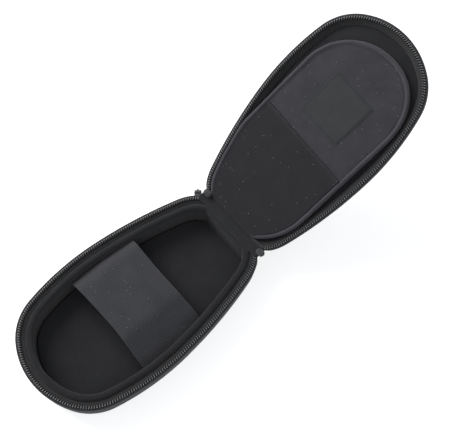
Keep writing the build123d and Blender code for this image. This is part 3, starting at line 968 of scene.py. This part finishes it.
def zip_end(side, name, cad):
    """The zip's folded end: tape gathered into a small tuck beside the hinge.

    The left one is further inboard than the frame's, so it stands clear of the slider.
    """
    back, start, height = LEFT_KNOB if side < 0 else RIGHT_KNOB
    rows = []
    for share in steps(0, 1, KNOB_STEPS):
        middle = Vector((back, side * (start + KNOB_LENGTH * share), height))
        full = KNOB_RADIUS * sqrt(max(0.0, 1 - (2 * share - 1) ** 4)) * 0.98 + 0.05
        row = []
        for k in range(KNOB_SIDES):
            turn = 2 * pi * k / KNOB_SIDES
            tuck = 1 - 0.16 * abs(sin(1.5 * turn + 3 * share)) - 0.05 * cos(5 * turn)
            row.append(middle + full * tuck * Vector((cos(turn), 0, 0.8 * sin(turn))))
        rows.append(row)
    rumple(rows, 0.35, 2.2, 41 + side)
    # The folded end is coloured lighter than the tape, as a painted highlight.
    obj = Skin().grid(rows, ring=True).make(name, BASE_PLACE, FOLD_PAINTED_HIGHLIGHT_CLOTH, [cad])
    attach(obj, "base")


# ---- sewing


STITCH_SHARE = 0.62
STITCH_DIP = 0.12
STITCH_LIFT = 0.08
EDGE_PITCH = 2.4
PATCH_PITCH = 2.0
PATCH_MARGIN = 1.4


def thread(skin, before, after, half):
    """One stitch: a short length of thread that dips at both ends."""
    ahead = (after - before).normalized()
    side = Vector((-ahead.y, ahead.x, 0)).normalized()
    middle = (before + after) / 2
    reach = (after - before).length * STITCH_SHARE / 2
    rows = []
    for t in (-1.0, -0.6, 0.0, 0.6, 1.0):
        full = half * (1.05 - t**4)
        centre = middle + ahead * (reach * t) - Vector((0, 0, STITCH_DIP * t**4))
        row = []
        for k in range(6):
            turn = pi * k / 3
            row.append(centre + side * (cos(turn) * full) + Vector((0, 0, sin(turn) * full)))
        rows.append(row)
    skin.grid(rows, ring=True)


def sew(skin, line, depth, pitch, half=0.16):
    """Stitches along a plan line, on a face whose depth varies."""
    places = resample(line, round(length_of(line) / pitch))
    stops = [Vector((p.x, p.y, -depth(p) + STITCH_LIFT)) for p in places]
    for before, after in zip(stops, stops[1:]):
        thread(skin, before, after, half)


def panel_stitches():
    """The seam inside the panel's rolled edge, round its tip and then over the pocket."""
    skin = Skin()
    left, right = panel_sides(PANEL_BINDING + 1.0)
    beyond = [[p for p in side if own(p).x > POCKET_MOUTH + 1] for side in (left, right)]
    sew(skin, beyond[1][:0:-1] + beyond[0], lambda p: PANEL_FACE + 0.1, EDGE_PITCH)
    near = [side_from(side, POCKET_MOUTH - 0.5) for side in (left, right)]
    sew(skin, near[0] + near[1][::-1], pocket_depth, EDGE_PITCH)
    obj = skin.make("panel_stitches", LID_PLACE, LIP_CLOTH)
    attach(obj, "lid")


def hem_stitches():
    """The pale seam along the pocket's hem."""
    skin = Skin()
    sides = panel_sides(PANEL_BINDING + 0.6)
    hem = [side_from(side, POCKET_MOUTH - 1.1)[0] for side in sides]
    sew(skin, hem, pocket_depth, 2.0, 0.26)
    obj = skin.make("hem_stitches", LID_PLACE, BINDING_CLOTH)
    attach(obj, "lid")


def label_stitches():
    """The seam round the bare patch."""
    skin = Skin()
    low = LABEL_START + PATCH_MARGIN
    high = LABEL_START + LABEL_LENGTH - PATCH_MARGIN
    half = LABEL_WIDTH / 2 - PATCH_MARGIN
    corners = ((low, -half), (high, -half), (high, half), (low, half), (low, -half))
    square = [askew(x, LABEL_Y + y) for x, y in corners]
    for pair in zip(square, square[1:]):
        sew(skin, pair, lambda p: PANEL_FACE - 0.75, PATCH_PITCH)
    obj = skin.make("label_stitches", LID_PLACE, LIP_CLOTH)
    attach(obj, "lid")


# ---- camera, lights and floor

CAMERA_AT = Vector((117.28, 236.83, 767.41)) * MM
CAMERA_TARGET = Vector((-100.04, -8.13, 27.0)) * MM
CAMERA_ROLL = 0.565
FOCAL_PIXELS = 1005.36
IMAGE_WIDTH = 450
SENSOR = 36.0
LIGHT_TARGET = Vector((-0.05, 0, 0.03))
WORLD_STRENGTH = 0.33
FLOOR_GLOW = 0.70
FLOOR_HALF = 2.0


def camera():
    data = bpy.data.cameras.new("camera")
    data.sensor_width = SENSOR
    data.lens = FOCAL_PIXELS / IMAGE_WIDTH * SENSOR
    data.clip_end = 10
    obj = bpy.data.objects.new("camera", data)
    bpy.context.collection.objects.link(obj)
    obj.rotation_mode = "QUATERNION"
    obj.location = CAMERA_AT
    look = (CAMERA_TARGET - CAMERA_AT).to_track_quat("-Z", "Y")
    obj.rotation_quaternion = look @ Quaternion((0, 0, 1), radians(CAMERA_ROLL))
    bpy.context.scene.camera = obj


def lamp(name, place, size, watts):
    data = bpy.data.lights.new(name, "AREA")
    data.size = size
    data.energy = watts
    obj = bpy.data.objects.new(name, data)
    bpy.context.collection.objects.link(obj)
    obj.location = place
    obj.rotation_mode = "QUATERNION"
    obj.rotation_quaternion = (LIGHT_TARGET - Vector(place)).to_track_quat("-Z", "Y")


def unseen_mix(tree, plain, shown):
    """One shader for diffuse light, and another for what is seen straight, in gloss or through."""
    path = add(tree, "LightPath")
    seen = calc(tree, "MAXIMUM", path.outputs["Is Camera Ray"], path.outputs["Is Glossy Ray"])
    seen = calc(tree, "MAXIMUM", seen, path.outputs["Is Transmission Ray"])
    mix = add(tree, "MixShader", {0: seen})
    tree.links.new(plain, mix.inputs[1])
    tree.links.new(shown, mix.inputs[2])
    return mix.outputs[0]


def sky():
    """A dim light from all round, which looks white."""
    world = bpy.data.worlds.new("studio")
    bpy.context.scene.world = world
    world.use_nodes = True
    tree = world.node_tree
    tree.nodes.clear()
    dim = add(tree, "Background", {"Color": (0.9, 0.95, 1.0, 1), "Strength": WORLD_STRENGTH})
    white = add(tree, "Background", {"Color": (1, 1, 1, 1), "Strength": 1.0})
    out = add(tree, "OutputWorld")
    tree.links.new(unseen_mix(tree, dim.outputs[0], white.outputs[0]), out.inputs["Surface"])


def floor_finish():
    """A matt pale floor, lifted to white where the camera sees it, so that the shadow stays."""
    finish = bpy.data.materials.new("floor_white")
    finish.use_nodes = True
    tree = finish.node_tree
    tree.nodes.clear()
    grain = add(tree, "TexNoise", {"Scale": 60.0, "Detail": 3.0}).outputs["Fac"]
    tone = add(tree, "MapRange", {"Value": grain, "To Min": 0.78, "To Max": 0.82}).outputs[0]
    matt = add(tree, "BsdfDiffuse")
    tree.links.new(tone, matt.inputs["Color"])
    glow = add(tree, "Emission", {"Color": (1, 1, 1, 1), "Strength": FLOOR_GLOW})
    lifted = add(tree, "AddShader")
    tree.links.new(matt.outputs[0], lifted.inputs[0])
    tree.links.new(glow.outputs[0], lifted.inputs[1])
    out = add(tree, "OutputMaterial")
    tree.links.new(unseen_mix(tree, matt.outputs[0], lifted.outputs[0]), out.inputs["Surface"])
    return finish


def surroundings():
    sky()
    half = FLOOR_HALF
    mesh = bpy.data.meshes.new("floor")
    corners = [(-half, -half, 0), (half, -half, 0), (half, half, 0), (-half, half, 0)]
    mesh.from_pydata(corners, [], [(0, 1, 2, 3)])
    mesh.materials.append(floor_finish())
    floor = bpy.data.objects.new("floor", mesh)
    bpy.context.collection.objects.link(floor)
    lamp("key", (0.1, -0.95, 0.75), 0.8, 13)
    lamp("fill", (0.4, 0.8, 1.0), 0.8, 2.5)


def keep(node, finish):
    """A rigid CAD node that stays, with its own finish."""
    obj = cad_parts[node]
    obj.data.materials.clear()
    obj.data.materials.append(finish)
    obj.data.polygons.foreach_set("use_smooth", [True] * len(obj.data.polygons))


camera()
base_pad()
base_lip()
base_floor()
strap()
tape("tape_of_base", BASE_PLACE, "base", 7.8, 3.3, "base_zip_tape")
tape("tape_of_lid", LID_PLACE, "lid", 8.4, 5.6, "lid_zip_tape")
coil("coil_of_base", BASE_PLACE, "base", "base_zip_coil")
coil("coil_of_lid", LID_PLACE, "lid", "lid_zip_coil")
lid_pad()
lid_dome()
panel()
panel_binding()
pocket()
label()
hinge_cloth()
zip_end(-1, "zip_end_cloth_left", "zip_end_left")
zip_end(1, "zip_end_cloth_right", "zip_end_right")
panel_stitches()
hem_stitches()
label_stitches()
for node in ("base_shell", "lid_shell"):
    keep(node, SHELL_CLOTH)
for node in ("zip_slider", "zip_pull"):
    keep(node, SLIDER_METAL)
surroundings()
bpy.context.scene.view_settings.view_transform = "Standard"
